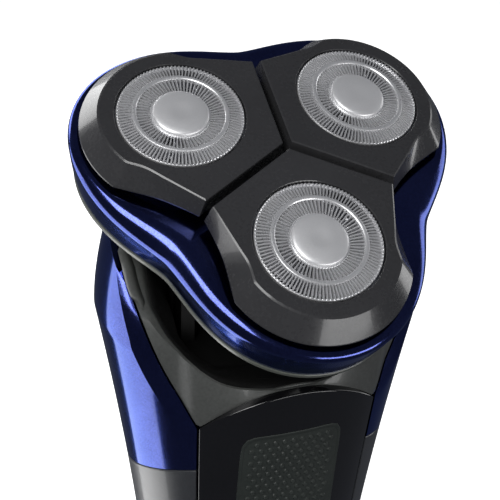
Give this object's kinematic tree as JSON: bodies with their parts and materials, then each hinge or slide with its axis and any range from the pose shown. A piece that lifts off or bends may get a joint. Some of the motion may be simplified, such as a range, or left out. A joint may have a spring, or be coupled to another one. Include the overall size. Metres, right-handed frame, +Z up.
{
  "type": "electric shaver",
  "caption": "Upright cordless rotary shaver with a tilting, flip-open head of floating round guards in lobed plates, blue wings on a waisted black handle, power button and pop-up trimmer.",
  "frame": {"origin": "centre of the handle's flat base, on the surface that the shaver stands on", "axes": "+Z up along the handle, -Y the front that carries the power button and that the head leans towards, +X to the right of the front seen from behind it"},
  "size_m": [0.0638, 0.06, 0.1583],
  "materials": {
    "satin_black": "satin",
    "gloss_black": "gloss",
    "rubber": "matte",
    "grip_rubber": "textured",
    "satin_grey": "satin",
    "blue_paint": "metallic gloss",
    "inner_plastic": "moulded",
    "steel": "turned",
    "motor_can": "plated",
    "battery_wrap": "sleeved",
    "board": "solder mask",
    "gold": "plated",
    "lens": "frosted",
    "satin_chrome": "satin",
    "lip_grey": "satin",
    "gear_plastic": "moulded",
    "plate_satin": "satin",
    "guard_steel": "bright brushed",
    "cap_steel": "satin"
  },
  "bodies": {
    "handle": {"base_cap": "satin_black", "base_seal": "rubber", "front_panel": "gloss_black", "grip_insert": "grip_rubber", "back_panel": "satin_black", "side_panel_left": "satin_grey", "side_panel_right": "satin_grey", "wing_left": "blue_paint", "wing_right": "blue_paint", "neck_cradle": "satin_black", "neck_yoke": "inner_plastic", "pitch_pins": "steel", "chassis": "inner_plastic", "motor": "motor_can", "battery": "battery_wrap", "circuit_board": "board", "power_switch": "inner_plastic", "charging_socket": "satin_black", "charging_pins": "gold", "indicator_window": "lens", "button_bezel": "satin_chrome", "base_screws": "steel", "trimmer_bay": "inner_plastic", "trimmer_pin": "steel"},
    "power_button": {"power_button": "gloss_black"},
    "motor_shaft": {"motor_shaft": "steel"},
    "gimbal": {"gimbal_ring": "steel", "roll_pins": "steel"},
    "head": {"neck_stem": "inner_plastic", "neck_shroud": "gloss_black", "head_base": "lip_grey", "gear_plate": "inner_plastic", "hinge_pin": "steel"},
    "release_button": {"release_button": "satin_black"},
    "drive_shaft": {"drive_shaft": "gear_plastic"},
    "cover": {"head_skirt": "blue_paint", "cover_hinge": "satin_black", "retaining_bracket": "inner_plastic"},
    "trimmer": {"trimmer_arm": "satin_black", "trimmer_comb": "guard_steel"},
    "trimmer_blade": {"trimmer_blade": "steel"},
    "trimmer_slide": {"trimmer_slide": "satin_grey"},
    "drive_front": {"planet_gear_front": "gear_plastic", "spindle_front": "steel"},
    "plate_front": {"plate_front": "plate_satin"},
    "guard_front": {"guard_front": "guard_steel", "guard_cap_front": "cap_steel"},
    "cutter_front": {"cutter_front": "steel"},
    "drive_left": {"planet_gear_left": "gear_plastic", "spindle_left": "steel"},
    "plate_left": {"plate_left": "plate_satin"},
    "guard_left": {"guard_left": "guard_steel", "guard_cap_left": "cap_steel"},
    "cutter_left": {"cutter_left": "steel"},
    "drive_right": {"planet_gear_right": "gear_plastic", "spindle_right": "steel"},
    "plate_right": {"plate_right": "plate_satin"},
    "guard_right": {"guard_right": "guard_steel", "guard_cap_right": "cap_steel"},
    "cutter_right": {"cutter_right": "steel"}
  },
  "joints": [
    {"name": "power_button_press", "type": "slide", "parent": "handle", "child": "power_button", "axis": [0, 1, 0], "range_m": [0, 0.0006], "stiffness_N_per_m": 900},
    {"name": "motor_spin", "type": "hinge", "parent": "handle", "child": "motor_shaft", "pos_m": [0, 0, 0.129], "axis": [0, 0, 1], "continuous": true},
    {"name": "head_pitch", "type": "hinge", "parent": "handle", "child": "gimbal", "pos_m": [0, 0, 0.129], "axis": [1, 0, 0], "range_deg": [-3.5, 3.5], "stiffness_Nm_per_rad": 3},
    {"name": "head_roll", "type": "hinge", "parent": "gimbal", "child": "head", "pos_m": [0, 0, 0.129], "axis": [0, 0.866, 0.5], "range_deg": [-3.5, 3.5], "stiffness_Nm_per_rad": 3},
    {"name": "drive_spin", "type": "hinge", "parent": "head", "child": "drive_shaft", "pos_m": [0, 0, 0.129], "axis": [0, -0.5, 0.866], "continuous": true},
    {"name": "cover_open", "type": "hinge", "parent": "head", "child": "cover", "pos_m": [0, 0.01862, 0.14714], "axis": [-1, 0, 0], "range_deg": [0, 85]},
    {"name": "release_press", "type": "slide", "parent": "head", "child": "release_button", "axis": [0, -0.5, 0.866], "range_m": [0, 0.0008], "stiffness_N_per_m": 600},
    {"name": "spindle_front_spin", "type": "hinge", "parent": "head", "child": "drive_front", "pos_m": [0, -0.01817, 0.12659], "axis": [0, -0.5, 0.866], "continuous": true},
    {"name": "plate_front_tilt", "type": "hinge", "parent": "cover", "child": "plate_front", "pos_m": [0, -0.02145, 0.1328], "axis": [1, 0, 0], "range_deg": [-2, 2], "stiffness_Nm_per_rad": 0.6},
    {"name": "guard_front_float", "type": "slide", "parent": "plate_front", "child": "guard_front", "axis": [0, 0.5563, -0.831], "range_m": [0, 0.001], "stiffness_N_per_m": 500},
    {"name": "cutter_front_spin", "type": "hinge", "parent": "guard_front", "child": "cutter_front", "pos_m": [0, -0.02367, 0.13613], "axis": [0, -0.5563, 0.831], "continuous": true},
    {"name": "spindle_left_spin", "type": "hinge", "parent": "head", "child": "drive_left", "pos_m": [-0.01467, 0.00383, 0.1393], "axis": [0, -0.5, 0.866], "continuous": true},
    {"name": "plate_left_tilt", "type": "hinge", "parent": "cover", "child": "plate_left", "pos_m": [-0.01444, 0.00021, 0.14531], "axis": [-0.5, -0.75, -0.433], "range_deg": [-2, 2], "stiffness_Nm_per_rad": 0.6},
    {"name": "guard_left_float", "type": "slide", "parent": "plate_left", "child": "guard_left", "axis": [0.0574, 0.4702, -0.8807], "range_m": [0, 0.001], "stiffness_N_per_m": 500},
    {"name": "cutter_left_spin", "type": "hinge", "parent": "guard_left", "child": "cutter_left", "pos_m": [-0.01467, -0.00167, 0.14883], "axis": [-0.0574, -0.4702, 0.8807], "continuous": true},
    {"name": "spindle_right_spin", "type": "hinge", "parent": "head", "child": "drive_right", "pos_m": [0.01467, 0.00383, 0.1393], "axis": [0, -0.5, 0.866], "continuous": true},
    {"name": "plate_right_tilt", "type": "hinge", "parent": "cover", "child": "plate_right", "pos_m": [0.01444, 0.00021, 0.14531], "axis": [-0.5, 0.75, 0.433], "range_deg": [-2, 2], "stiffness_Nm_per_rad": 0.6},
    {"name": "guard_right_float", "type": "slide", "parent": "plate_right", "child": "guard_right", "axis": [-0.0574, 0.4702, -0.8807], "range_m": [0, 0.001], "stiffness_N_per_m": 500},
    {"name": "cutter_right_spin", "type": "hinge", "parent": "guard_right", "child": "cutter_right", "pos_m": [0.01467, -0.00167, 0.14883], "axis": [0.0574, -0.4702, 0.8807], "continuous": true},
    {"name": "trimmer_open", "type": "hinge", "parent": "handle", "child": "trimmer", "pos_m": [0, 0.01403, 0.075], "axis": [-1, 0, 0], "range_deg": [0, 75]},
    {"name": "trimmer_stroke", "type": "slide", "parent": "trimmer", "child": "trimmer_blade", "axis": [1, 0, 0], "range_m": [-0.0008, 0.0008]},
    {"name": "trimmer_slide_push", "type": "slide", "parent": "handle", "child": "trimmer_slide", "axis": [0, 0, -1], "range_m": [0, 0.004], "stiffness_N_per_m": 120}
  ],
  "couplings": [
    {"joint": "drive_spin", "follows": "motor_spin", "ratio": 1},
    {"joint": "spindle_front_spin", "follows": "motor_spin", "ratio": -2.25},
    {"joint": "cutter_front_spin", "follows": "motor_spin", "ratio": -2.25},
    {"joint": "spindle_left_spin", "follows": "motor_spin", "ratio": -2.25},
    {"joint": "cutter_left_spin", "follows": "motor_spin", "ratio": -2.25},
    {"joint": "spindle_right_spin", "follows": "motor_spin", "ratio": -2.25},
    {"joint": "cutter_right_spin", "follows": "motor_spin", "ratio": -2.25}
  ]
}
